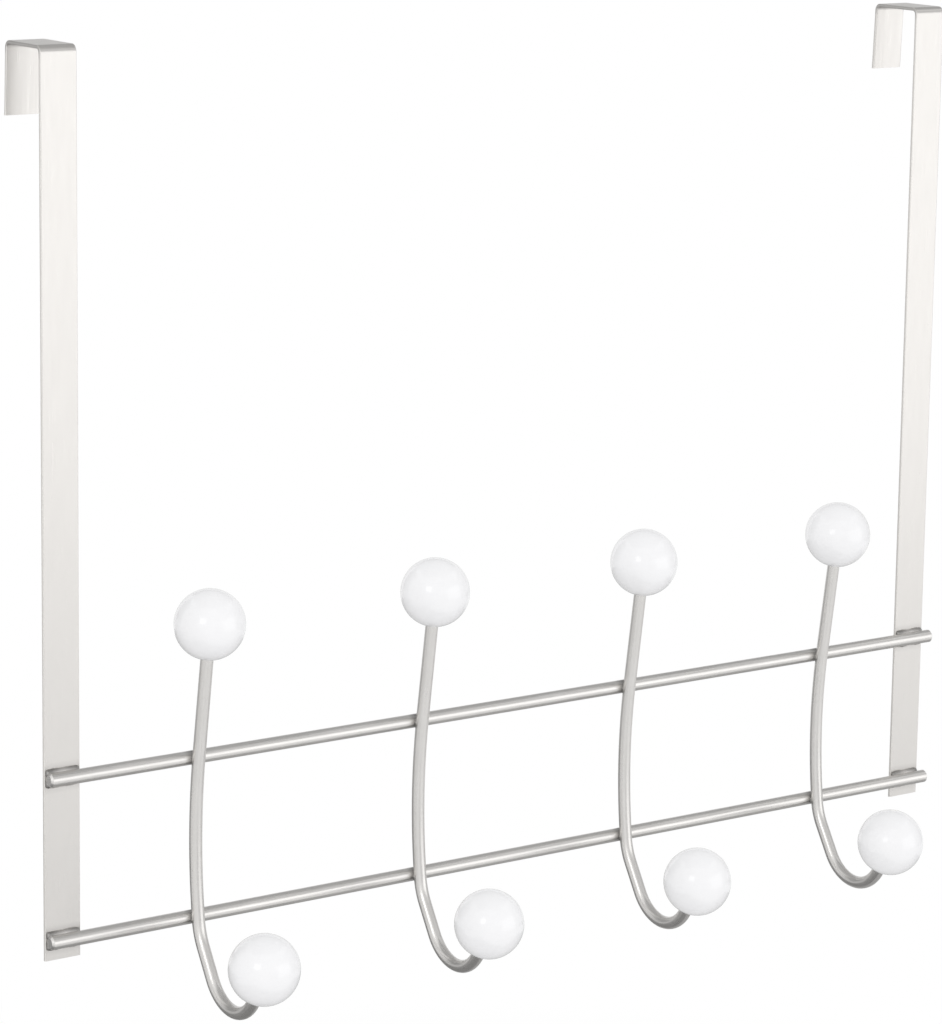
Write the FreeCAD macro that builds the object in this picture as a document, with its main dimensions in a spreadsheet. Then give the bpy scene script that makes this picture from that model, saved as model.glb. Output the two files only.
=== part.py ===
"""Over-the-door rack: two flat straps hook over a door and carry two round rails, and four round wires,
each bent to a double hook with a ball on both ends, cross the rails.

Millimetres and degrees. +Z is up, -Y points out of the door towards the viewer, +X to the right.
The origin lies on the door's top front edge, half-way between the straps: the door fills Y > 0, Z < 0.
"""
import FreeCAD, Part
import math
import os

import Sketcher
from FreeCAD import Rotation, Vector

SIZES = [
    ("strap_width", 22.0, "flat bar, across"),
    ("strap_thickness", 2.0, "flat bar, through"),
    ("strap_edge_radius", 0.5, "rounding of the bar's long edges"),
    ("strap_spacing", 609.4, "strap centre to strap centre"),
    ("strap_length", 502.0, "door top to the strap's foot"),
    ("door_gap", 35.6, "inside width of the channel over the door"),
    ("top_bend_radius", 2.3, "inside radius of both bends over the door"),
    ("return_leg", 36.6, "straight part of the leg behind the door"),
    ("return_splay", 2.5, "angle by which that leg leans away from the door"),
    ("rail_diameter", 7.9, "round rails"),
    ("rail_left_inset", 0.8, "rail's left end, short of the left strap's outer edge"),
    ("rail_right_overhang", 3.4, "rail's right end, past the right strap's outer edge"),
    ("rail_end_chamfer", 1.1, "broken edge on the rail's ends"),
    ("rail_flat", 0.3, "depth of the welded flat where a rail meets a strap"),
    ("strap_foot", 11.3, "strap's foot to the lower rail's axis"),
    ("rail_pitch", 92.4, "lower rail's axis to the upper rail's axis"),
    ("weld_radius", 2.0, "bead above and below a rail on a strap"),
    ("weld_height", 3.1, "rail's axis to that bead's middle"),
    ("weld_length", 19.0, "length of that bead"),
    ("wire_diameter", 7.4, "wire of the double hooks"),
    ("hook_pitch", 149.6, "hook to hook"),
    ("saddle_depth", 0.8, "how far a wire is let onto a rail"),
    ("seat_gap", 0.05, "clearance of the saddles and the ball bores"),
    ("bow_radius", 345.0, "wire's bow towards the door between the rails"),
    ("arm_angle", 8.4, "upper arm's lean out of the vertical"),
    ("arm_rise", 80.1, "upper rail's axis to the upper ball's centre"),
    ("knee_radius", 36.0, "bend below the lower rail"),
    ("shank_angle", 32.4, "lean of the run from the knee to the J bend"),
    ("shank_length", 19.2, "that run"),
    ("hook_radius", 26.2, "J bend that carries a bag or a coat"),
    ("tip_angle", 153.3, "direction of the tip, from straight down by the front"),
    ("tip_length", 1.5, "straight wire between the J bend and the lower ball"),
    ("ball_diameter", 40.0, "balls on the wire ends"),
    ("ball_bore_depth", 14.0, "blind bore for the wire, from the ball's surface"),
    ("ball_mouth_radius", 4.6, "small flat around the bore"),
    ("wire_end_gap", 0.5, "wire's end to the bottom of the bore"),
]
HOOKS = 4

# Places that several pieces share, as expressions of the sizes
RAIL_SEAT = "(sizes.rail_diameter / 2 - sizes.rail_flat)"
RAIL_FORWARD = f"(sizes.strap_thickness + {RAIL_SEAT})"
WIRE_FORWARD = f"({RAIL_FORWARD} + sizes.rail_diameter / 2 + sizes.wire_diameter / 2 - sizes.saddle_depth)"
WIRE_END = "(sizes.ball_diameter / 2 - sizes.ball_bore_depth + sizes.wire_end_gap)"
BEND_RADIUS = "sizes.top_bend_radius + sizes.strap_thickness / 2"
LOWER_RAIL = "(sizes.strap_foot - sizes.strap_length)"

START, END, CENTRE = range(1, 4)
X_AXIS, Y_AXIS = range(-1, -3, -1)

doc = FreeCAD.newDocument("over_door_hook")
sheet = doc.addObject("Spreadsheet::Sheet", "sizes")
size = {}
for row, (alias, value, note) in enumerate(SIZES, start=1):
    sheet.set(f"A{row}", alias)
    sheet.set(f"B{row}", str(value))
    sheet.setAlias(f"B{row}", alias)
    sheet.set(f"C{row}", note)
    size[alias] = value
doc.recompute()


def new_body(name, **place):
    """A named body, with its placement bound to the sheet."""
    body = doc.addObject("PartDesign::Body", name)
    body.Label = name
    for axis, expression in place.items():
        body.setExpression(f"Placement.Base.{axis}", expression)
    return body


def new_sketch(body, name, role, **offset):
    """A sketch on one of the body's own origin planes, moved off it where an offset is given."""
    plane = next(feature for feature in body.Origin.OriginFeatures if feature.Role == role)
    sketch = body.newObject("Sketcher::SketchObject", name)
    sketch.AttachmentSupport = [(plane, "")]
    sketch.MapMode = "FlatFace"
    for axis, expression in offset.items():
        sketch.setExpression(f"AttachmentOffset.Base.{axis}", expression)
    return sketch


def as_drawn(sketch, kind, where):
    """The value that a dimension has in the sketch as it is drawn."""
    if kind in ("DistanceX", "DistanceY"):
        step = sketch.getPoint(*where[2:]) - sketch.getPoint(*where[:2])
        return step.x if kind == "DistanceX" else step.y
    shape = sketch.Geometry[where[0]]
    if kind == "Radius":
        return shape.Radius
    if kind == "Diameter":
        return 2 * shape.Radius
    along = shape.EndPoint - shape.StartPoint
    return along.Length if kind == "Distance" else math.atan2(along.y, along.x)


def dimension(sketch, name, kind, *where):
    """One named dimension at its drawn value."""
    index = sketch.addConstraint(Sketcher.Constraint(kind, *where, as_drawn(sketch, kind, where)))
    sketch.renameConstraint(index, name)
    return index


def drive(sketch, name, expression, kind, *where):
    """One named dimension, bound to the sheet."""
    dimension(sketch, name, kind, *where)
    sketch.setExpression(f"Constraints.{name}", expression)


def measure(sketch, name, kind, *where):
    """One named dimension that is only read, by other sketches and placements."""
    sketch.setDriving(dimension(sketch, name, kind, *where), False)


def tie(sketch, kind, *where):
    sketch.addConstraint(Sketcher.Constraint(kind, *where))


def walk(sketch, start, heading, moves):
    """Draw a run of tangent lines and bends. A move is a length, or a radius and a turn in degrees that is
    positive to the left. Returns each piece as its index and the vertices where it starts and ends."""
    point, angle, pieces = start, math.radians(heading), []
    for move in moves:
        along = Vector(math.cos(angle), math.sin(angle), 0)
        if isinstance(move, float):
            end = point + along * move
            piece = (sketch.addGeometry(Part.LineSegment(point, end)), START, END)
        else:
            radius, turn = move[0], math.radians(move[1])
            side = math.copysign(1.0, turn)
            centre = point + Vector(-along.y, along.x, 0) * radius * side
            first = angle - side * math.pi / 2
            low, high = sorted((first, first + turn))
            circle = Part.Circle(centre, Vector(0, 0, 1), radius)
            vertices = (START, END) if turn > 0 else (END, START)
            piece = (sketch.addGeometry(Part.ArcOfCircle(circle, low, high)), *vertices)
            last = first + turn
            end = centre + Vector(math.cos(last), math.sin(last), 0) * radius
            angle += turn
        if pieces:
            tie(sketch, "Tangent", pieces[-1][0], pieces[-1][2], piece[0], piece[1])
        pieces.append(piece)
        point = end
    return pieces


def round_section(sketch, diameter):
    """A circle about the sketch's own origin."""
    circle = sketch.addGeometry(Part.Circle(Vector(0, 0, 0), Vector(0, 0, 1), 1))
    tie(sketch, "Coincident", circle, CENTRE, X_AXIS, START)
    drive(sketch, "across", diameter, "Diameter", circle)


def bar_section(sketch):
    """The flat bar's section with rounded edges, its wide side along X, its middle on the sketch's origin."""
    radius = size["strap_edge_radius"]
    wide = size["strap_width"] - 2 * radius
    narrow = size["strap_thickness"] - 2 * radius
    corner = (radius, 90.0)
    start = Vector(-wide / 2, -narrow / 2 - radius, 0)
    pieces = walk(sketch, start, 0.0, [wide, corner, narrow, corner, wide, corner, narrow, corner])
    front, _, right, _, back, _, left, last = [piece[0] for piece in pieces]
    tie(sketch, "Tangent", last, END, front, START)
    for line in (front, back):
        tie(sketch, "Horizontal", line)
    for line in (left, right):
        tie(sketch, "Vertical", line)
    corners = [piece[0] for piece in pieces[1::2]]
    for corner_arc in corners[1:]:
        tie(sketch, "Equal", corners[0], corner_arc)
    drive(sketch, "edge_radius", "sizes.strap_edge_radius", "Radius", corners[0])
    drive(sketch, "half_width", "sizes.strap_width / 2", "DistanceX", X_AXIS, START, right, START)
    drive(sketch, "other_half_width", "sizes.strap_width / 2", "DistanceX", left, START, X_AXIS, START)
    drive(sketch, "half_thickness", "sizes.strap_thickness / 2", "DistanceY", X_AXIS, START, back, START)
    drive(sketch, "other_half_thickness", "sizes.strap_thickness / 2", "DistanceY", front, START, X_AXIS, START)


def sweep(body, name, section, path):
    """The section drawn along the path."""
    pipe = body.newObject("PartDesign::AdditivePipe", name)
    pipe.Profile = section
    pipe.Spine = path
    pipe.Mode = "Standard"
    pipe.Transition = "Transformed"
    return pipe


def make_strap(name, side):
    """A flat bar up the door's front, over its top and a short way down behind it."""
    body = new_body(name, x=f"{side} * sizes.strap_spacing / 2")
    path = new_sketch(body, "strap_path", "YZ_Plane")
    bend = size["top_bend_radius"] + size["strap_thickness"] / 2
    foot = Vector(-size["strap_thickness"] / 2, -size["strap_length"], 0)
    front, front_bend, top, back_bend, leg = walk(path, foot, 90.0, [
        size["strap_length"] - size["top_bend_radius"],
        (bend, -90.0),
        size["door_gap"] - 2 * size["top_bend_radius"],
        (bend, size["return_splay"] - 90.0),
        size["return_leg"],
    ])
    tie(path, "Vertical", front[0])
    tie(path, "Horizontal", top[0])
    tie(path, "Equal", front_bend[0], back_bend[0])
    drive(path, "front_leg", "sizes.strap_thickness / 2", "DistanceX", front[0], START, X_AXIS, START)
    drive(path, "foot", "sizes.strap_length", "DistanceY", front[0], START, X_AXIS, START)
    drive(path, "top", "sizes.strap_thickness / 2", "DistanceY", X_AXIS, START, top[0], START)
    drive(path, "bend", BEND_RADIUS, "Radius", front_bend[0])
    drive(path, "gap", "sizes.door_gap - sizes.top_bend_radius", "DistanceX", X_AXIS, START, back_bend[0], CENTRE)
    drive(path, "splay", "(sizes.return_splay - 90) * 1 deg", "Angle", leg[0])
    drive(path, "leg", "sizes.return_leg", "Distance", leg[0])
    section = new_sketch(body, "bar_section", "XY_Plane", y="-sizes.strap_thickness / 2", z="-sizes.strap_length")
    bar_section(section)
    sweep(body, "bent_bar", section, path)


def make_rail(name, height):
    """A round rod with a flat and two weld beads where it lies on each strap."""
    body = new_body(name, y=f"-{RAIL_FORWARD}", z=height)
    section = new_sketch(body, "rail_section", "YZ_Plane",
                         z="(sizes.rail_right_overhang + sizes.rail_left_inset) / 2")
    round_section(section, "sizes.rail_diameter")
    rod = body.newObject("PartDesign::Pad", "rod")
    rod.Profile = section
    rod.Midplane = True
    rod.setExpression("Length", "sizes.strap_spacing + sizes.strap_width"
                      " + sizes.rail_right_overhang - sizes.rail_left_inset")
    doc.recompute()

    ends = body.newObject("PartDesign::Chamfer", "broken_ends")
    rims = [f"Edge{n}" for n, edge in enumerate(rod.Shape.Edges, start=1)
            if isinstance(edge.Curve, Part.Circle)]
    ends.Base = (rod, rims)
    ends.setExpression("Size", "sizes.rail_end_chamfer")

    flat = new_sketch(body, "weld_flat", "YZ_Plane", z="sizes.strap_spacing / 2")
    reach = size["rail_diameter"]
    seat = size["rail_diameter"] / 2 - size["rail_flat"]
    corners = [Vector(seat, -reach), Vector(reach, -reach), Vector(reach, reach), Vector(seat, reach)]
    lines = [flat.addGeometry(Part.LineSegment(corners[n], corners[(n + 1) % 4])) for n in range(4)]
    for n in range(4):
        tie(flat, "Coincident", lines[n], END, lines[(n + 1) % 4], START)
        tie(flat, "Vertical" if n % 2 else "Horizontal", lines[n])
    drive(flat, "above", "sizes.rail_diameter", "DistanceY", X_AXIS, START, lines[1], END)
    drive(flat, "below", "sizes.rail_diameter", "DistanceY", lines[1], START, X_AXIS, START)
    drive(flat, "depth", "sizes.rail_diameter", "DistanceX", X_AXIS, START, lines[1], START)
    drive(flat, "seat", RAIL_SEAT, "DistanceX", X_AXIS, START, lines[3], START)
    cut = body.newObject("PartDesign::Pocket", "strap_flat")
    cut.Profile = flat
    cut.Midplane = True
    cut.setExpression("Length", "sizes.strap_width + 2 * sizes.seat_gap")
    doc.recompute()
    mirror_feature(body, "other_strap_flat", cut)

    bead = new_sketch(body, "bead_section", "YZ_Plane", z="sizes.strap_spacing / 2")
    for side, label in ((1, "above"), (-1, "below")):
        middle = Vector(seat, side * size["weld_height"])
        radius = size["weld_radius"]
        circle = Part.Circle(middle, Vector(0, 0, 1), radius)
        arc = bead.addGeometry(Part.ArcOfCircle(circle, math.pi / 2, 3 * math.pi / 2))
        line = bead.addGeometry(Part.LineSegment(middle - Vector(0, radius), middle + Vector(0, radius)))
        tie(bead, "Coincident", arc, START, line, END)
        tie(bead, "Coincident", arc, END, line, START)
        tie(bead, "Vertical", line)
        tie(bead, "PointOnObject", arc, CENTRE, line)
        drive(bead, f"seat_{label}", RAIL_SEAT, "DistanceX", X_AXIS, START, arc, CENTRE)
        drive(bead, f"radius_{label}", "sizes.weld_radius", "Radius", arc)
        along = (X_AXIS, START, arc, CENTRE) if side > 0 else (arc, CENTRE, X_AXIS, START)
        drive(bead, f"height_{label}", "sizes.weld_height", "DistanceY", *along)
    weld = body.newObject("PartDesign::Pad", "weld_beads")
    weld.Profile = bead
    weld.Midplane = True
    weld.setExpression("Length", "sizes.weld_length")
    doc.recompute()
    mirror_feature(body, "other_weld_beads", weld)


def mirror_feature(body, name, feature):
    """The same feature at the other strap."""
    mirror = body.newObject("PartDesign::Mirrored", name)
    mirror.Originals = [feature]
    plane = next(item for item in body.Origin.OriginFeatures if item.Role == "YZ_Plane")
    mirror.MirrorPlane = (plane, [""])
    body.Tip = mirror
    doc.recompute()


def make_hook(number):
    """One wire: upper arm, bow across both rails, knee, shank, J bend and tip, with a saddle on each rail."""
    station = f"{number - (HOOKS + 1) / 2} * sizes.hook_pitch"
    body = new_body(f"hook_wire_{number}", x=station, z=LOWER_RAIL)
    path = new_sketch(body, f"hook_path_{number}", "YZ_Plane")
    half_bow = math.degrees(math.asin(size["rail_pitch"] / 2 / size["bow_radius"]))
    hidden = size["ball_diameter"] / 2 - size["ball_bore_depth"] + size["wire_end_gap"]
    arm_top = size["rail_pitch"] / 2 + size["arm_rise"]
    lean = math.radians(size["arm_angle"])
    arm = (arm_top - size["bow_radius"] * math.sin(lean)) / math.cos(lean)
    rail_forward = size["strap_thickness"] + size["rail_diameter"] / 2 - size["rail_flat"]
    wire_forward = rail_forward + (size["rail_diameter"] + size["wire_diameter"]) / 2 - size["saddle_depth"]
    bow_rise = size["bow_radius"] * (math.cos(math.radians(half_bow)) - math.cos(lean))
    ball_forward = wire_forward + bow_rise + arm * math.sin(lean)
    ball_centre = Vector(-ball_forward, size["rail_pitch"] + size["arm_rise"], 0)
    pieces = walk(path, ball_centre, size["arm_angle"] - 90, [
        hidden,
        arm - hidden,
        (size["bow_radius"], -size["arm_angle"] - half_bow),
        (size["knee_radius"], half_bow - size["shank_angle"]),
        size["shank_length"],
        (size["hook_radius"], size["shank_angle"] - size["tip_angle"]),
        size["tip_length"] + size["ball_diameter"] / 2 - hidden,
        hidden,
    ])
    top_rest, arm_line, bow, knee, shank, hook, tip, tip_rest = [piece[0] for piece in pieces]
    path.setConstruction(top_rest, True)
    path.setConstruction(tip_rest, True)
    rail_crossing = (knee, pieces[3][1])
    tie(path, "PointOnObject", *rail_crossing, X_AXIS)
    drive(path, "wire_forward", WIRE_FORWARD, "DistanceX", *rail_crossing, X_AXIS, START)
    drive(path, "bow_middle", "sizes.rail_pitch / 2", "DistanceY", X_AXIS, START, bow, CENTRE)
    drive(path, "bow_radius", "sizes.bow_radius", "Radius", bow)
    drive(path, "arm_angle", "(sizes.arm_angle - 90) * 1 deg", "Angle", arm_line)
    drive(path, "upper_ball_height", "sizes.rail_pitch + sizes.arm_rise", "DistanceY",
          X_AXIS, START, top_rest, START)
    drive(path, "knee_radius", "sizes.knee_radius", "Radius", knee)
    drive(path, "shank_angle", "(-sizes.shank_angle - 90) * 1 deg", "Angle", shank)
    drive(path, "shank_length", "sizes.shank_length", "Distance", shank)
    drive(path, "hook_radius", "sizes.hook_radius", "Radius", hook)
    drive(path, "tip_angle", "(270 - sizes.tip_angle) * 1 deg", "Angle", tip)
    drive(path, "tip_length", f"sizes.tip_length + sizes.ball_diameter / 2 - {WIRE_END}", "Distance", tip)
    drive(path, "upper_rest", WIRE_END, "Distance", top_rest)
    drive(path, "lower_rest", WIRE_END, "Distance", tip_rest)
    measure(path, "upper_ball_y", "DistanceX", top_rest, START, X_AXIS, START)
    measure(path, "lower_ball_y", "DistanceX", tip_rest, END, X_AXIS, START)
    measure(path, "lower_ball_z", "DistanceY", tip_rest, END, X_AXIS, START)
    measure(path, "wire_end_y", "DistanceX", arm_line, START, X_AXIS, START)
    measure(path, "wire_end_z", "DistanceY", X_AXIS, START, arm_line, START)
    doc.recompute()

    section = new_sketch(body, "wire_section", "XY_Plane", y=f"-hook_path_{number}.Constraints.wire_end_y",
                         z=f"hook_path_{number}.Constraints.wire_end_z")
    section.AttachmentOffset.Rotation = Rotation(Vector(1, 0, 0), size["arm_angle"])
    section.setExpression("AttachmentOffset.Rotation.Angle", "sizes.arm_angle * 1 deg")
    round_section(section, "sizes.wire_diameter")
    sweep(body, "bent_wire", section, path)

    saddles = new_sketch(body, "rail_sections", "YZ_Plane")
    for label, height in (("lower", 0.0), ("upper", size["rail_pitch"])):
        rail = Part.Circle(Vector(-rail_forward, height, 0), Vector(0, 0, 1), size["rail_diameter"] / 2)
        circle = saddles.addGeometry(rail)
        drive(saddles, f"{label}_seat", "sizes.rail_diameter + 2 * sizes.seat_gap", "Diameter", circle)
        drive(saddles, f"{label}_forward", RAIL_FORWARD, "DistanceX", circle, CENTRE, X_AXIS, START)
    tie(saddles, "PointOnObject", 0, CENTRE, X_AXIS)
    drive(saddles, "upper_height", "sizes.rail_pitch", "DistanceY", X_AXIS, START, 1, CENTRE)
    cut = body.newObject("PartDesign::Pocket", "rail_saddles")
    cut.Profile = saddles
    cut.Midplane = True
    cut.setExpression("Length", "2 * sizes.wire_diameter")
    doc.recompute()


def make_ball(name, number, y, z, turn):
    """A ball with a blind bore for the wire; the bore points down before the ball is turned."""
    station = f"{number - (HOOKS + 1) / 2} * sizes.hook_pitch"
    body = new_body(name, x=station, y=y, z=z)
    radius = size["ball_diameter"] / 2
    mouth = size["ball_mouth_radius"]
    bore = size["wire_diameter"] / 2 + size["seat_gap"]
    floor = radius - size["ball_bore_depth"]
    sketch = new_sketch(body, "ball_section", "XZ_Plane")
    mouth_height = math.sqrt(radius ** 2 - mouth ** 2)
    circle = Part.Circle(Vector(0, 0, 0), Vector(0, 0, 1), radius)
    arc = sketch.addGeometry(Part.ArcOfCircle(circle, -math.acos(mouth / radius), math.pi / 2))
    corners = [Vector(mouth, -mouth_height), Vector(bore, -mouth_height), Vector(bore, -floor),
               Vector(0, -floor), Vector(0, radius)]
    flat, wall, bottom, axis = [sketch.addGeometry(Part.LineSegment(a, b)) for a, b in zip(corners, corners[1:])]
    tie(sketch, "Coincident", arc, CENTRE, X_AXIS, START)
    tie(sketch, "Coincident", arc, START, flat, START)
    for first, second in ((flat, wall), (wall, bottom), (bottom, axis)):
        tie(sketch, "Coincident", first, END, second, START)
    tie(sketch, "Coincident", axis, END, arc, END)
    tie(sketch, "Horizontal", flat)
    tie(sketch, "Vertical", wall)
    tie(sketch, "Horizontal", bottom)
    tie(sketch, "PointOnObject", axis, START, Y_AXIS)
    tie(sketch, "PointOnObject", axis, END, Y_AXIS)
    drive(sketch, "ball_radius", "sizes.ball_diameter / 2", "Radius", arc)
    drive(sketch, "mouth_radius", "sizes.ball_mouth_radius", "DistanceX", X_AXIS, START, flat, START)
    drive(sketch, "bore_radius", "sizes.wire_diameter / 2 + sizes.seat_gap", "DistanceX", X_AXIS, START, wall, START)
    drive(sketch, "bore_floor", "sizes.ball_diameter / 2 - sizes.ball_bore_depth", "DistanceY",
          bottom, START, X_AXIS, START)
    ball = body.newObject("PartDesign::Revolution", "ball")
    ball.Profile = sketch
    ball.ReferenceAxis = (sketch, ["V_Axis"])
    ball.Angle = 360
    body.Placement.Rotation = Rotation(Vector(1, 0, 0), 1)
    body.setExpression("Placement.Rotation.Angle", f"({turn}) * 1 deg")
    doc.recompute()


def check(objects):
    """Stop if any object failed or any piece isn't one sound solid."""
    for item in doc.Objects:
        bad = [state for state in item.State if state in ("Invalid", "Error")]
        if bad:
            raise RuntimeError(f"{item.Label}: {bad}")
    for item in objects:
        if item.Shape.isNull() or not item.Shape.isValid() or len(item.Shape.Solids) != 1:
            raise RuntimeError(f"{item.Label} isn't one valid solid")


make_strap("left_door_strap", -1)
make_strap("right_door_strap", 1)
make_rail("lower_rail", LOWER_RAIL)
make_rail("upper_rail", f"{LOWER_RAIL} + sizes.rail_pitch")
for hook_number in range(1, HOOKS + 1):
    make_hook(hook_number)
    path_name = f"hook_path_{hook_number}.Constraints"
    make_ball(f"upper_ball_{hook_number}", hook_number, f"-{path_name}.upper_ball_y",
              f"{LOWER_RAIL} + sizes.rail_pitch + sizes.arm_rise", "sizes.arm_angle")
    make_ball(f"lower_ball_{hook_number}", hook_number, f"-{path_name}.lower_ball_y",
              f"{LOWER_RAIL} * 1 mm - {path_name}.lower_ball_z", "180 - sizes.tip_angle")

doc.recompute()
bodies = [item for item in doc.Objects if item.TypeId == "PartDesign::Body"]
check(bodies)
os.makedirs("parts", exist_ok=True)
for piece in bodies:
    piece.Shape.exportStep(f"parts/{piece.Label}.step")
    box = piece.Shape.BoundBox
    print(f"{piece.Label}: volume {piece.Shape.Volume:.1f}, x {box.XMin:.2f}..{box.XMax:.2f}, "
          f"y {box.YMin:.2f}..{box.YMax:.2f}, z {box.ZMin:.2f}..{box.ZMax:.2f}")
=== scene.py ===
"""Looks for the over door hook: two straps, two rails, four double hook wires, eight balls.

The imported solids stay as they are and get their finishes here. The welds that hold
the wires on the rails and the rails on the straps are added as small pieces of their own.
"""

import math

import bpy
import numpy as np
from mathutils import Matrix, Vector


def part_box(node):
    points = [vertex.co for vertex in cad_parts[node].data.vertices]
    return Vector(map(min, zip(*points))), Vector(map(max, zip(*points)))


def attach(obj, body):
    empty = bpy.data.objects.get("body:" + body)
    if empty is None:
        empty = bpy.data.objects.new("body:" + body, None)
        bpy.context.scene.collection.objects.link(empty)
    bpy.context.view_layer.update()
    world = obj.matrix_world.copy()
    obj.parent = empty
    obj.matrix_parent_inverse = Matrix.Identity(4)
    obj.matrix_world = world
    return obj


bl_info = {
    "name": "Over Door Hook",
    "version": (1, 0, 0),
    "blender": (4, 5, 0),
    "location": "View3D > Sidebar > Over Door Hook",
    "description": "Finishes, welds and studio for the over door hook",
    "category": "Object",
}

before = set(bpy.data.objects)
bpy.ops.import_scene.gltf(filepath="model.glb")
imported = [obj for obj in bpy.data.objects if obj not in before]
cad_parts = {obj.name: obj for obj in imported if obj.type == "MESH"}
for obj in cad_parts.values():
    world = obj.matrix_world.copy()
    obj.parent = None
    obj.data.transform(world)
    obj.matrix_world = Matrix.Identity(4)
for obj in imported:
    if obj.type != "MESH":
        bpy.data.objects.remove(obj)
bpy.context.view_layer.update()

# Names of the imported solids
STRAPS = ("left_door_strap", "right_door_strap")
RAILS = ("upper_rail", "lower_rail")
WIRES = tuple(f"hook_wire_{number}" for number in range(1, 5))
BALLS = tuple(f"{row}_ball_{number}" for row in ("upper", "lower") for number in range(1, 5))


def middle(name):
    """The middle of a solid's box."""
    low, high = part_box(name)
    return (low + high) / 2


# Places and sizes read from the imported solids, in metres
STRAP_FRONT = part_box("left_door_strap")[0].y
STRAP_MIDDLE_X = middle("right_door_strap").x
STRAP_HALF_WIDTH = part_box("right_door_strap")[1].x - STRAP_MIDDLE_X
RAIL_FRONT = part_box("upper_rail")[0].y
RAIL_RADIUS = (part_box("upper_rail")[1].y - RAIL_FRONT) / 2
WIRE_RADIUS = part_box("hook_wire_1")[1].x - middle("hook_wire_1").x
# How deep each rail sits in a wire's saddle
SADDLE = 0.0008
# How far a weld bead reaches into its strap, and how far its middle line is in front of it
BEAD_BITE = 0.0008
BEAD_LIFT = 0.0001
# The part of a noise's range that most of its values lie in
NOISE_SPAN = (0.3, 0.7)


class NickelSettings(bpy.types.PropertyGroup):
    """Colours and roughness of the nickel plate and the welds; the weld colour is also the
    colour of the painted contact shade
    """

    strap_color: bpy.props.FloatVectorProperty(
        name="Strap colour",
        description="Colour of the satin nickel on the flat straps",
        subtype="COLOR",
        size=3,
        default=(0.70, 0.682, 0.66),
    )
    rod_color: bpy.props.FloatVectorProperty(
        name="Rod colour",
        description="Colour of the nickel on the drawn rods and wires",
        subtype="COLOR",
        size=3,
        default=(0.725, 0.711, 0.692),
    )
    # The weld colour also colours the painted contact shade on the straps and rails, which
    # stands in for shadow and dark reflection
    weld_and_shade_color: bpy.props.FloatVectorProperty(
        name="Weld colour",
        description="Colour of the plated weld metal, a little darker than the rest",
        subtype="COLOR",
        size=3,
        default=(0.41, 0.40, 0.388),
    )
    strap_roughness: bpy.props.FloatProperty(
        name="Strap roughness",
        description="Roughness of the satin straps",
        subtype="FACTOR",
        min=0.0,
        max=1.0,
        default=0.32,
    )
    rod_roughness: bpy.props.FloatProperty(
        name="Rod roughness",
        description="Roughness of the drawn rods and wires",
        subtype="FACTOR",
        min=0.0,
        max=1.0,
        default=0.3,
    )


class BallSettings(bpy.types.PropertyGroup):
    """Colour and roughness of the balls"""

    color: bpy.props.FloatVectorProperty(
        name="Ball colour",
        description="Colour of the glossy white balls",
        subtype="COLOR",
        size=3,
        default=(0.862, 0.861, 0.872),
    )
    roughness: bpy.props.FloatProperty(
        name="Ball roughness",
        description="Roughness of the balls' gloss",
        subtype="FACTOR",
        min=0.0,
        max=1.0,
        default=0.24,
    )


class WeldSettings(bpy.types.PropertyGroup):
    """Sizes of the weld beads and the weld rings"""

    bead_length: bpy.props.FloatProperty(
        name="Bead length",
        description="Length of the weld bead between a rail and a strap",
        unit="LENGTH",
        default=0.0206,
    )
    bead_radius: bpy.props.FloatProperty(
        name="Bead radius",
        description="Radius of the weld bead between a rail and a strap",
        unit="LENGTH",
        default=0.0023,
    )
    bead_height: bpy.props.FloatProperty(
        name="Bead height",
        description="Height of the bead's middle over or under the rail's middle line",
        unit="LENGTH",
        default=0.0031,
    )
    collar_radius: bpy.props.FloatProperty(
        name="Collar radius",
        description="Middle radius of the weld ring where a wire crosses a rail",
        unit="LENGTH",
        default=0.0027,
    )


class StudioSettings(bpy.types.PropertyGroup):
    """Height of the floor and length of the lens"""

    floor_height: bpy.props.FloatProperty(
        name="Floor height",
        description="Height of the studio floor, well under the hanging hooks",
        unit="LENGTH",
        default=-1.35,
    )
    lens: bpy.props.FloatProperty(
        name="Lens",
        description="Focal length of the camera in millimetres",
        default=135.28,
    )


def set_input(node, name, value):
    """Sets one socket's own value."""
    node.inputs[name].default_value = value


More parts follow.
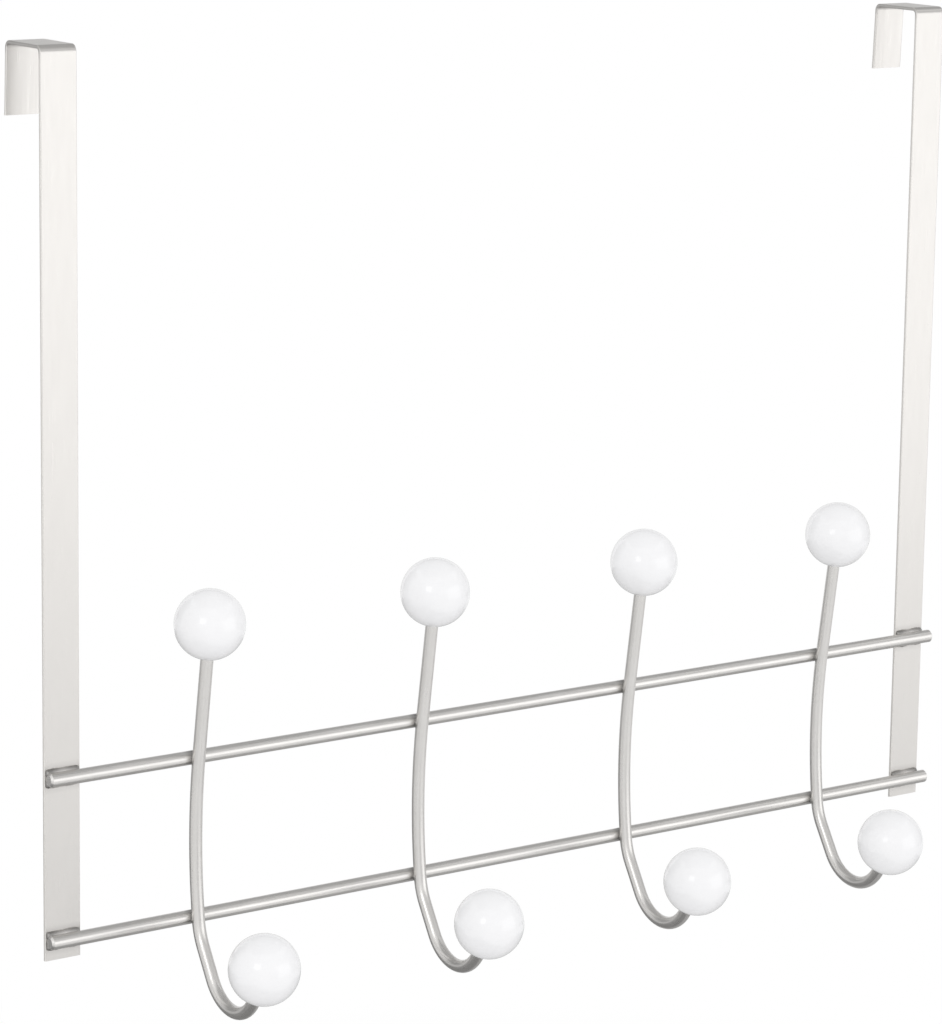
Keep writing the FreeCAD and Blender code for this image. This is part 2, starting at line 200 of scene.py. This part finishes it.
class Finish:
    """A material with short ways to add nodes and links."""

    def __init__(self, name):
        self.material = bpy.data.materials.new(name)
        self.material.use_nodes = True
        self.tree = self.material.node_tree
        self.shader = self.tree.nodes["Principled BSDF"]
        self.place = self.add("ShaderNodeTexCoord").outputs["Object"]

    def add(self, kind, **settings):
        """Adds a node and sets it up."""
        node = self.tree.nodes.new(kind)
        for key, value in settings.items():
            setattr(node, key, value)
        return node

    def link(self, output, socket):
        """Links one node's output to another's input."""
        self.tree.links.new(output, socket)

    def noise(self, scale, size=1.0, detail=4.0, roughness=0.55):
        """Noise on the object's own coordinates, stretched by scale along x, y and z."""
        mapping = self.add("ShaderNodeMapping")
        set_input(mapping, "Scale", scale)
        self.link(self.place, mapping.inputs["Vector"])
        noise = self.add("ShaderNodeTexNoise")
        set_input(noise, "Scale", size)
        set_input(noise, "Detail", detail)
        set_input(noise, "Roughness", roughness)
        self.link(mapping.outputs["Vector"], noise.inputs["Vector"])
        return noise.outputs["Fac"]

    def spread(self, value, low, high, start=0.0, end=1.0):
        """Maps start..end of a value to low..high."""
        node = self.add("ShaderNodeMapRange")
        set_input(node, "From Min", start)
        set_input(node, "From Max", end)
        set_input(node, "To Min", low)
        set_input(node, "To Max", high)
        self.link(value, node.inputs["Value"])
        return node.outputs["Result"]

    def math(self, operation, *values):
        """One sum or comparison of plain numbers and other nodes' outputs."""
        node = self.add("ShaderNodeMath", operation=operation)
        for socket, value in zip(node.inputs, values):
            if isinstance(value, (int, float)):
                socket.default_value = value
            else:
                self.link(value, socket)
        return node.outputs["Value"]

    def blend(self, factor, first, second):
        """Blends two colours by a factor."""
        node = self.add("ShaderNodeMix", data_type="RGBA")
        self.link(factor, node.inputs["Factor"])
        for key, value in (("A", first), ("B", second)):
            sockets = [s for s in node.inputs if s.name == key and s.type == "RGBA"]
            if isinstance(value, (tuple, list)):
                sockets[0].default_value = value
            else:
                self.link(value, sockets[0])
        return [s for s in node.outputs if s.type == "RGBA"][0]

    def bump(self, height, distance):
        """Small heights, in metres, that only the shading shows."""
        node = self.add("ShaderNodeBump")
        set_input(node, "Distance", distance)
        self.link(height, node.inputs["Height"])
        return node.outputs["Normal"]

    def axes(self):
        """The place on the piece, split in x, y and z."""
        node = self.add("ShaderNodeSeparateXYZ")
        self.link(self.place, node.inputs["Vector"])
        return node.outputs

    def distance(self, value, centre):
        """How far a value is from a centre, as a positive number."""
        return self.math("ABSOLUTE", self.math("SUBTRACT", value, centre), 0.0)

    def near(self, value, centres, inside, outside):
        """One within a distance of any of the centres, falling to zero a little further out."""
        nearest = None
        for centre in centres:
            gap = self.distance(value, centre)
            nearest = gap if nearest is None else self.math("MINIMUM", nearest, gap)
        return self.spread(nearest, 1.0, 0.0, inside, outside)

    def output(self, socket, name):
        """Links an output to one of the shader's own inputs."""
        self.link(socket, self.shader.inputs[name])


def shade(color, factor):
    """A colour made lighter or darker, with its alpha."""
    return (*[min(1.0, part * factor) for part in color], 1.0)


def strap_finish():
    """Satin nickel plate on flat strip: fine grain along the strip, soft mottling, duller cut
    edges under the bend painted lighter as painted light, and painted contact shade on the front
    skin, standing in for the rails' shadow and dark reflection, full up to a height over and
    under each rail and gone a little further out."""
    # Painted contact shade: full within the first distance of a rail's middle, gone at the
    # second, at most this strength
    painted_shade_inside, painted_shade_outside, painted_shade_strength = 0.0054, 0.0089, 0.3
    skin_start, skin_end = 0.0002, 0.0008
    # Cut edges: the lighter colour is painted light on the edge faces; the extra roughness is
    # real
    edge_start, edge_full, painted_edge_light, edge_roughness = 0.0004, 0.0001, 1.3, 0.2
    bend_start, bend_end = -0.006, -0.001
    settings = bpy.context.scene.nickel
    finish = Finish("satin_nickel_strap")
    grain = finish.noise((2600.0, 38.0, 38.0), detail=5.0)
    mottle = finish.noise((150.0, 34.0, 34.0), detail=3.0)
    darker, lighter = (shade(settings.strap_color, factor) for factor in (0.975, 1.02))
    tone = finish.blend(mottle, darker, lighter)
    axes = finish.axes()
    rail_heights = [middle(rail).z for rail in RAILS]
    # Painted contact shade over and under each rail on the front skin, in the weld colour
    painted_shade = finish.near(axes["Z"], rail_heights, painted_shade_inside, painted_shade_outside)
    skin = (STRAP_FRONT + skin_start, STRAP_FRONT + skin_end)
    front = finish.spread(axes["Y"], painted_shade_strength, 0.0, *skin)
    painted_shade = finish.math("MULTIPLY", painted_shade, front)
    tone = finish.blend(painted_shade, tone, shade(settings.weld_and_shade_color, 1.0))
    # Painted light: the cut edges below the bend are made lighter than the rest of the strap
    across = finish.distance(finish.distance(axes["X"], 0.0), STRAP_MIDDLE_X)
    rim = (STRAP_HALF_WIDTH - edge_start, STRAP_HALF_WIDTH - edge_full)
    edge = finish.spread(across, 0.0, 1.0, *rim)
    under_bend = finish.spread(axes["Z"], 1.0, 0.0, bend_start, bend_end)
    edge = finish.math("MULTIPLY", edge, under_bend)
    tone = finish.blend(edge, tone, shade(settings.strap_color, painted_edge_light))
    finish.output(tone, "Base Color")
    rough = settings.strap_roughness
    satin = finish.spread(grain, rough - 0.05, rough + 0.05, *NOISE_SPAN)
    finish.output(finish.math("MULTIPLY_ADD", edge, edge_roughness, satin), "Roughness")
    finish.output(finish.bump(grain, 0.00001), "Normal")
    set_input(finish.shader, "Metallic", 1.0)
    return finish.material


def rod_finish(name, scale, welded_at=()):
    """Nickel plate on drawn rod: faint die lines along the rod, soft changes of gloss, and
    painted contact shade round each crossing along x, standing in for the crossing wire's shadow
    and dark reflection."""
    # Painted contact shade: full within the first distance of a crossing, gone at the second,
    # this share of the weld colour
    painted_shade_inside, painted_shade_outside, painted_shade_darkness = 0.001, 0.006, 0.8
    settings = bpy.context.scene.nickel
    finish = Finish(name)
    lines = finish.noise(scale, detail=4.0)
    cloud = finish.noise((60.0, 60.0, 60.0), detail=3.0)
    darker, lighter = (shade(settings.rod_color, factor) for factor in (0.96, 1.03))
    tone = finish.blend(cloud, darker, lighter)
    if welded_at:
        # Painted contact shade round each crossing wire
        painted_shade = finish.near(finish.axes()["X"], welded_at, painted_shade_inside, painted_shade_outside)
        tone = finish.blend(painted_shade, tone, shade(settings.weld_and_shade_color, painted_shade_darkness))
    finish.output(tone, "Base Color")
    rough = settings.rod_roughness
    finish.output(finish.spread(lines, rough - 0.05, rough + 0.06, *NOISE_SPAN), "Roughness")
    finish.output(finish.bump(lines, 0.000012), "Normal")
    set_input(finish.shader, "Metallic", 1.0)
    return finish.material


def weld_finish():
    """Plated weld metal: darker and rougher than the rest, with small pits, and a painted
    highlight in the middle of each bead on a strap."""
    # Painted highlight: full within the first distance of a strap's middle, gone at the second,
    # this much lighter
    middle_end, ends_start, painted_highlight_lightness = 0.001, 0.008, 1.5
    settings = bpy.context.scene.nickel
    finish = Finish("plated_weld")
    grain = finish.noise((1400.0, 1400.0, 1400.0), detail=4.0)
    cloud = finish.noise((420.0, 420.0, 420.0), detail=2.0)
    darker, lighter = (shade(settings.weld_and_shade_color, factor) for factor in (0.7, 1.05))
    tone = finish.blend(cloud, darker, lighter)
    # Painted highlight in the middle of each bead on a strap; further out the weld keeps its own
    # tone
    across = finish.distance(finish.distance(finish.axes()["X"], 0.0), STRAP_MIDDLE_X)
    ends = finish.spread(across, 0.0, 1.0, middle_end, ends_start)
    tone = finish.blend(ends, shade(settings.weld_and_shade_color, painted_highlight_lightness), tone)
    finish.output(tone, "Base Color")
    finish.output(finish.spread(grain, 0.28, 0.5, *NOISE_SPAN), "Roughness")
    finish.output(finish.bump(grain, 0.00006), "Normal")
    set_input(finish.shader, "Metallic", 1.0)
    return finish.material


def ball_finish():
    """Glossy white balls: a clear even coat over white, a faint orange peel and a trace of
    mottling."""
    settings = bpy.context.scene.balls
    finish = Finish("glossy_white_ball")
    cloud = finish.noise((45.0, 45.0, 45.0), detail=3.0)
    peel = finish.noise((520.0, 520.0, 520.0), detail=2.0)
    darker, lighter = (shade(settings.color, factor) for factor in (0.985, 1.012))
    finish.output(finish.blend(cloud, darker, lighter), "Base Color")
    rough = settings.roughness
    finish.output(finish.spread(cloud, rough - 0.03, rough + 0.04, *NOISE_SPAN), "Roughness")
    finish.output(finish.bump(peel, 0.00002), "Normal")
    set_input(finish.shader, "Coat Weight", 0.8)
    set_input(finish.shader, "Coat Roughness", 0.11)
    set_input(finish.shader, "Specular IOR Level", 0.25)
    return finish.material


def dress(names, material):
    """Gives every named solid one material."""
    for name in names:
        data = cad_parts[name].data
        data.materials.clear()
        data.materials.append(material)


def surface(name, points, material):
    """Makes a closed mesh piece from a grid of points, closed round its second side.

    Grid rows run along the piece and grid columns go round it. The first and last rows
    are joined to each other for a ring, or to one pole point each for a bead with ends.
    """
    grid, poles = points
    rows, columns, _ = grid.shape
    vertices = grid.reshape(-1, 3)
    row = np.arange(rows if poles is None else rows - 1)[:, None]
    column = np.arange(columns)[None, :]
    beside = (column + 1) % columns
    below = (row + 1) % rows
    quads = np.stack(
        np.broadcast_arrays(
            row * columns + column,
            row * columns + beside,
            below * columns + beside,
            below * columns + column,
        ),
        axis=-1,
    ).reshape(-1, 4)
    faces = quads.tolist()
    if poles is not None:
        first = len(vertices)
        vertices = np.concatenate((vertices, poles))
        around = np.arange(columns)
        turned = (around + 1) % columns
        last = (rows - 1) * columns
        start_pole, end_pole = np.full(columns, first), np.full(columns, first + 1)
        faces += np.stack((start_pole, turned, around), axis=-1).tolist()
        faces += np.stack((last + around, last + turned, end_pole), axis=-1).tolist()
    mesh = bpy.data.meshes.new(name)
    mesh.from_pydata(vertices.tolist(), [], faces)
    mesh.validate()
    mesh.shade_smooth()
    mesh.materials.append(material)
    piece = bpy.data.objects.new(name, mesh)
    bpy.context.scene.collection.objects.link(piece)
    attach(piece, "root")
    return piece


def bead_points(centre, length, radius, phase):
    """Points of a weld bead laid along x.

    The bead is a round bar. Its radius is the given one, times a blunt taper at both
    ends, times one plus a slow wave that makes two lobes, small ripples and a slight
    twist. The ripples are sines along the bead at unlike pitches, like the scales of a
    hand-laid weld. Its middle line wanders up and down a little, and behind it is cut off
    flat just inside the strap.
    """
    rows, columns, bluntness = 120, 28, 24
    along = np.sin(np.linspace(-math.pi / 2, math.pi / 2, rows + 2))[1:-1][:, None]
    turn = np.linspace(0.0, 2.0 * math.pi, columns, endpoint=False)[None, :]
    taper = (1.0 - np.abs(along) ** bluntness) ** 0.5
    lobes = -0.06 * np.cos(2.0 * math.pi * along + 0.25 * np.sin(phase))
    ripple = 0.022 * np.sin(23.0 * along + phase) + 0.014 * np.sin(57.0 * along + 2.3 * phase)
    wander = 0.00008 * np.sin(5.0 * along + 1.7 * phase)
    twist = 0.012 * np.sin(3.0 * turn + 11.0 * along)
    reach = radius * taper * (1.0 + lobes + ripple + twist)
    x = centre[0] + along * length / 2 + 0.0 * turn
    y = np.minimum(centre[1] + reach * np.cos(turn), STRAP_FRONT + BEAD_BITE)
    z = centre[2] + reach * np.sin(turn) + wander
    grid = np.stack((x, y, z), axis=-1)
    ends = np.array(
        [
            (centre[0] - length / 2, centre[1], centre[2]),
            (centre[0] + length / 2, centre[1], centre[2]),
        ]
    )
    return grid, ends


def collar_points(centre, radius, phase):
    """Points of a weld ring between a rail along x and a wire that crosses it.

    Round the ring, the gap between the two round bars at the ring's radius is the sum of
    what each bar falls away from its own top, less how far the wire is let onto the rail.
    The ring's section is an ellipse that fills that gap and bites a little into both bars,
    with a small uneven swell.
    """
    rows, columns = 56, 20
    bite, half_thickness = 0.0003, 0.0005
    around = np.linspace(0.0, 2.0 * math.pi, rows, endpoint=False)[:, None]
    turn = np.linspace(0.0, 2.0 * math.pi, columns, endpoint=False)[None, :]
    swell = 1.0 + 0.06 * np.sin(3.0 * around + phase) + 0.04 * np.sin(7.0 * around + 2.0 * phase)
    ring = radius * swell
    rail_fall = RAIL_RADIUS - np.sqrt(RAIL_RADIUS**2 - (ring * np.sin(around)) ** 2)
    wire_fall = WIRE_RADIUS - np.sqrt(WIRE_RADIUS**2 - (ring * np.cos(around)) ** 2)
    half_height = np.maximum(rail_fall + wire_fall - SADDLE, 0.0) / 2 + bite
    shift = (rail_fall - wire_fall) / 2
    half_width = half_thickness * swell
    out = ring + half_width * np.cos(turn)
    x = centre[0] + out * np.cos(around)
    z = centre[2] + out * np.sin(around)
    y = centre[1] + shift + half_height * np.sin(turn)
    return np.stack((x, y, z), axis=-1), None


class OBJECT_OT_dress_straps(bpy.types.Operator):
    """Gives the two door straps their satin nickel"""

    bl_idname = "over_door.dress_straps"
    bl_label = "Dress Straps"

    def execute(self, context):
        dress(STRAPS, strap_finish())
        return {"FINISHED"}


class OBJECT_OT_dress_rods(bpy.types.Operator):
    """Gives the rails and the hook wires their drawn nickel"""

    bl_idname = "over_door.dress_rods"
    bl_label = "Dress Rails and Wires"

    def execute(self, context):
        crossings = [middle(wire).x for wire in WIRES]
        dress(RAILS, rod_finish("drawn_nickel_rail", (30.0, 2200.0, 2200.0), crossings))
        dress(WIRES, rod_finish("drawn_nickel_wire", (2200.0, 34.0, 34.0)))
        return {"FINISHED"}


class OBJECT_OT_dress_balls(bpy.types.Operator):
    """Gives the eight balls their glossy white"""

    bl_idname = "over_door.dress_balls"
    bl_label = "Dress Balls"

    def execute(self, context):
        dress(BALLS, ball_finish())
        return {"FINISHED"}


class OBJECT_OT_weld_beads(bpy.types.Operator):
    """Lays the rippled weld beads over and under the rails on the straps"""

    bl_idname = "over_door.weld_beads"
    bl_label = "Weld Beads"

    def execute(self, context):
        settings = context.scene.welds
        material = weld_finish()
        count = 0
        for strap in STRAPS:
            for rail in RAILS:
                for side, word in ((1, "top"), (-1, "bottom")):
                    count += 1
                    centre = (
                        middle(strap).x,
                        STRAP_FRONT - BEAD_LIFT,
                        middle(rail).z + side * settings.bead_height,
                    )
                    points = bead_points(
                        centre, settings.bead_length, settings.bead_radius, 1.3 * count
                    )
                    name = f"weld_bead_{strap.split('_')[0]}_{rail.split('_')[0]}_{word}"
                    surface(name, points, material)
        return {"FINISHED"}


class OBJECT_OT_weld_collars(bpy.types.Operator):
    """Sets the small weld rings where the wires cross the rails"""

    bl_idname = "over_door.weld_collars"
    bl_label = "Weld Rings"

    def execute(self, context):
        settings = context.scene.welds
        material = bpy.data.materials.get("plated_weld") or weld_finish()
        contact = RAIL_FRONT + SADDLE / 2
        for number, wire in enumerate(WIRES, start=1):
            for rail in RAILS:
                centre = (middle(wire).x, contact, middle(rail).z)
                points = collar_points(centre, settings.collar_radius, 0.9 * number)
                name = f"weld_ring_{rail.split('_')[0]}_{number}"
                surface(name, points, material)
        return {"FINISHED"}


# The rack's middle, which the lamps and cards face
RACK_MIDDLE = (0.0, 0.0, -0.27)
# Level of the soft light from all round
WORLD_LEVEL = 0.98
# Soft lamps: name, centre, width, height, watts, seen in reflections or not
SOFTBOXES = (
    ("key_softbox", (-2.3, -1.5, 0.75), 0.9, 0.9, 5.2, True),
    ("front_softbox", (1.55, -2.6, -0.06), 3.0, 1.9, 9.8, True),
    ("top_softbox", (0.4, -0.9, 2.3), 2.2, 1.6, 1.5, False),
    ("fill_softbox", (-1.7, -1.9, -0.8), 1.6, 1.0, 3.4, False),
)
# Grey cards that only reflections see: name, centre, width, height, brightness
FLAGS = (
    ("back_left_low_flag", (-1.7, 3.2, -0.86), 2.8, 0.9, 0.62),
    ("back_left_high_flag", (-1.7, 3.2, 0.95), 2.8, 2.9, 0.34),
    ("back_right_low_flag", (2.2, 3.2, 0.0), 5.0, 2.7, 0.8),
    ("back_right_high_flag", (2.2, 3.2, 2.1), 5.0, 1.8, 0.4),
    ("left_flag", (-3.2, 1.2, 0.3), 3.0, 3.4, 0.9),
    ("right_flag", (3.3, -0.4, 0.3), 3.4, 3.2, 0.62),
    ("near_front_flag", (-0.3, -2.9, -0.6), 1.5, 1.5, 0.75),
    ("top_flag", (0.4, 0.5, 2.8), 5.0, 5.0, 0.5),
    ("front_flag", (0.9, -2.6, 1.6), 5.0, 1.9, 0.72),
)
# The same, laid just over the floor and facing up
FLOOR_FLAG_LIFT = 0.05
FLOOR_FLAGS = (
    ("under_left_flag", (-0.68, 1.35), 1.56, 4.1, 0.26),
    ("under_back_left_flag", (-1.96, 2.3), 1.0, 2.2, 0.26),
    ("under_right_flag", (0.95, 1.2), 1.7, 3.6, 0.44),
)
# Half the floor's width, and the distances from the origin between which it fades to white
FLOOR_REACH = 30.0
FLOOR_FADES = (
    ("Camera", 1.9, 2.6),
    ("Glossy", 2.2, 6.5),
    ("Transmission", 1.9, 2.6),
)
# Camera fitted to the photograph: place, turn in degrees, and shift as shares of the sensor
CAMERA_PLACE = (-1.28059, -1.80158, 0.18559)
CAMERA_TURN = (35.168, 10.2555, 0.912)
CAMERA_SHIFT = (-0.0329, -0.1142)


def rectangle(half_x, half_y, height):
    """The four corners of a flat rectangle round the origin, at a height."""
    signs = ((-1, -1), (1, -1), (1, 1), (-1, 1))
    return np.array([(x * half_x, y * half_y, height) for x, y in signs])


def studio_card(name, centre, facing, width, height, level):
    """A flat grey card that faces a point. Only reflections see it, as a studio flag."""
    corners = rectangle(width / 2, height / 2, 0.0)
    turn = np.array((Vector(facing) - Vector(centre)).to_track_quat("Z", "Y").to_matrix())
    mesh = bpy.data.meshes.new(name)
    mesh.from_pydata((corners @ turn.T + np.array(centre)).tolist(), [], [(0, 1, 2, 3)])
    card = bpy.data.objects.new(name, mesh)
    material = bpy.data.materials.new(name)
    material.use_nodes = True
    nodes = material.node_tree.nodes
    nodes.remove(nodes["Principled BSDF"])
    glow = nodes.new("ShaderNodeEmission")
    set_input(glow, "Color", (level, level, level, 1.0))
    surface_socket = nodes["Material Output"].inputs["Surface"]
    material.node_tree.links.new(glow.outputs["Emission"], surface_socket)
    mesh.materials.append(material)
    bpy.context.scene.collection.objects.link(card)
    card.visible_camera = False
    card.visible_diffuse = False
    card.visible_transmission = False
    card.visible_shadow = False


def softbox(name, centre, target, width, height, watts):
    """A soft area lamp that faces a point and isn't seen by the camera."""
    data = bpy.data.lights.new(name, "AREA")
    data.shape = "RECTANGLE"
    data.size = width
    data.size_y = height
    data.energy = watts
    lamp = bpy.data.objects.new(name, data)
    lamp.location = centre
    lamp.rotation_euler = (Vector(target) - Vector(centre)).to_track_quat("-Z", "Y").to_euler()
    lamp.visible_camera = False
    bpy.context.scene.collection.objects.link(lamp)
    return lamp


def white_to_sight(tree):
    """One for camera, glossy and transmission rays, zero for the rest."""
    path = tree.nodes.new("ShaderNodeLightPath")
    both = tree.nodes.new("ShaderNodeMath")
    both.operation = "MAXIMUM"
    tree.links.new(path.outputs["Is Camera Ray"], both.inputs[0])
    tree.links.new(path.outputs["Is Glossy Ray"], both.inputs[1])
    every = tree.nodes.new("ShaderNodeMath")
    every.operation = "MAXIMUM"
    tree.links.new(both.outputs[0], every.inputs[0])
    tree.links.new(path.outputs["Is Transmission Ray"], every.inputs[1])
    return every.outputs[0]


def make_floor(height):
    """A pale floor that keeps the shadow near the hooks and fades to white far away."""
    mesh = bpy.data.meshes.new("floor")
    corners = rectangle(FLOOR_REACH, FLOOR_REACH, height)
    mesh.from_pydata(corners.tolist(), [], [(0, 1, 2, 3)])
    floor = bpy.data.objects.new("floor", mesh)
    bpy.context.scene.collection.objects.link(floor)
    material = bpy.data.materials.new("pale_floor")
    material.use_nodes = True
    tree = material.node_tree
    shader = tree.nodes["Principled BSDF"]
    set_input(shader, "Base Color", (0.84, 0.84, 0.84, 1.0))
    set_input(shader, "Roughness", 0.9)
    set_input(shader, "Specular IOR Level", 0.0)
    place = tree.nodes.new("ShaderNodeTexCoord")
    length = tree.nodes.new("ShaderNodeVectorMath")
    length.operation = "LENGTH"
    tree.links.new(place.outputs["Object"], length.inputs[0])
    path = tree.nodes.new("ShaderNodeLightPath")
    factor = None
    for ray, near, far in FLOOR_FADES:
        fade = tree.nodes.new("ShaderNodeMapRange")
        fade.interpolation_type = "SMOOTHSTEP"
        set_input(fade, "From Min", near)
        set_input(fade, "From Max", far)
        tree.links.new(length.outputs["Value"], fade.inputs["Value"])
        part = tree.nodes.new("ShaderNodeMath")
        part.operation = "MULTIPLY_ADD"
        tree.links.new(fade.outputs["Result"], part.inputs[0])
        tree.links.new(path.outputs[f"Is {ray} Ray"], part.inputs[1])
        set_input(part, 2, 0.0)
        if factor is not None:
            tree.links.new(factor, part.inputs[2])
        factor = part.outputs[0]
    glow = tree.nodes.new("ShaderNodeEmission")
    mix = tree.nodes.new("ShaderNodeMixShader")
    tree.links.new(factor, mix.inputs["Fac"])
    tree.links.new(shader.outputs["BSDF"], mix.inputs[1])
    tree.links.new(glow.outputs["Emission"], mix.inputs[2])
    surface_socket = tree.nodes["Material Output"].inputs["Surface"]
    tree.links.new(mix.outputs["Shader"], surface_socket)
    mesh.materials.append(material)


def make_world(level):
    """White where it is seen, and a plain level of soft light elsewhere."""
    world = bpy.data.worlds.new("studio")
    bpy.context.scene.world = world
    world.use_nodes = True
    tree = world.node_tree
    seen = tree.nodes.new("ShaderNodeBackground")
    mix = tree.nodes.new("ShaderNodeMixShader")
    plain = tree.nodes["Background"]
    set_input(plain, "Color", (level, level, level, 1.0))
    set_input(seen, "Color", (1.0, 1.0, 1.0, 1.0))
    tree.links.new(white_to_sight(tree), mix.inputs["Fac"])
    tree.links.new(plain.outputs["Background"], mix.inputs[1])
    tree.links.new(seen.outputs["Background"], mix.inputs[2])
    tree.links.new(mix.outputs["Shader"], tree.nodes["World Output"].inputs["Surface"])


def make_camera(lens):
    """The camera of the photograph, from its fitted place and turn."""
    data = bpy.data.cameras.new("camera")
    data.lens = lens
    data.sensor_width = 36.0
    data.shift_x, data.shift_y = CAMERA_SHIFT
    data.clip_end = 100.0
    camera = bpy.data.objects.new("camera", data)
    yaw, pitch, roll = (math.radians(angle) for angle in CAMERA_TURN)
    ahead = math.cos(pitch)
    look = Vector((math.sin(yaw) * ahead, math.cos(yaw) * ahead, -math.sin(pitch)))
    level = Vector((math.cos(yaw), -math.sin(yaw), 0.0))
    upward = level.cross(look)
    right = math.cos(roll) * level + math.sin(roll) * upward
    above = math.cos(roll) * upward - math.sin(roll) * level
    turn = Matrix((right, above, -look)).transposed().to_4x4()
    camera.matrix_world = Matrix.Translation(CAMERA_PLACE) @ turn
    bpy.context.scene.collection.objects.link(camera)
    bpy.context.scene.camera = camera


class OBJECT_OT_make_stage(bpy.types.Operator):
    """Sets up the floor, the lamps, the flags, the world and the camera"""

    bl_idname = "over_door.make_stage"
    bl_label = "Studio"

    def execute(self, context):
        settings = context.scene.studio
        make_world(WORLD_LEVEL)
        make_floor(settings.floor_height)
        for name, centre, width, height, watts, reflected in SOFTBOXES:
            lamp = softbox(name, centre, RACK_MIDDLE, width, height, watts)
            lamp.visible_glossy = reflected
        for name, centre, width, height, level in FLAGS:
            studio_card(name, centre, RACK_MIDDLE, width, height, level)
        low = settings.floor_height + FLOOR_FLAG_LIFT
        for name, (x, y), width, height, level in FLOOR_FLAGS:
            studio_card(name, (x, y, low), (x, y, 0.0), width, height, level)
        make_camera(settings.lens)
        context.scene.view_settings.view_transform = "Standard"
        return {"FINISHED"}


class VIEW3D_PT_over_door_hook(bpy.types.Panel):
    """Lists the steps that dress the over door hook"""

    bl_label = "Over Door Hook"
    bl_idname = "VIEW3D_PT_over_door_hook"
    bl_space_type = "VIEW_3D"
    bl_region_type = "UI"
    bl_category = "Over Door Hook"

    def draw(self, context):
        for name in STEPS:
            self.layout.operator(f"over_door.{name}")
        for group in GROUPS:
            for key in GROUPS[group].__annotations__:
                self.layout.prop(getattr(context.scene, group), key)


STEPS = ("dress_straps", "dress_rods", "dress_balls", "weld_beads", "weld_collars", "make_stage")
GROUPS = {
    "nickel": NickelSettings,
    "balls": BallSettings,
    "welds": WeldSettings,
    "studio": StudioSettings,
}
CLASSES = (
    *GROUPS.values(),
    OBJECT_OT_dress_straps,
    OBJECT_OT_dress_rods,
    OBJECT_OT_dress_balls,
    OBJECT_OT_weld_beads,
    OBJECT_OT_weld_collars,
    OBJECT_OT_make_stage,
    VIEW3D_PT_over_door_hook,
)


def register():
    for cls in CLASSES:
        bpy.utils.register_class(cls)
    for name, group in GROUPS.items():
        setattr(bpy.types.Scene, name, bpy.props.PointerProperty(type=group))


def unregister():
    for name in GROUPS:
        delattr(bpy.types.Scene, name)
    for cls in reversed(CLASSES):
        bpy.utils.unregister_class(cls)


def main():
    """Runs every step in order."""
    register()
    for name in STEPS:
        getattr(bpy.ops.over_door, name)()


if __name__ == "__main__":
    main()
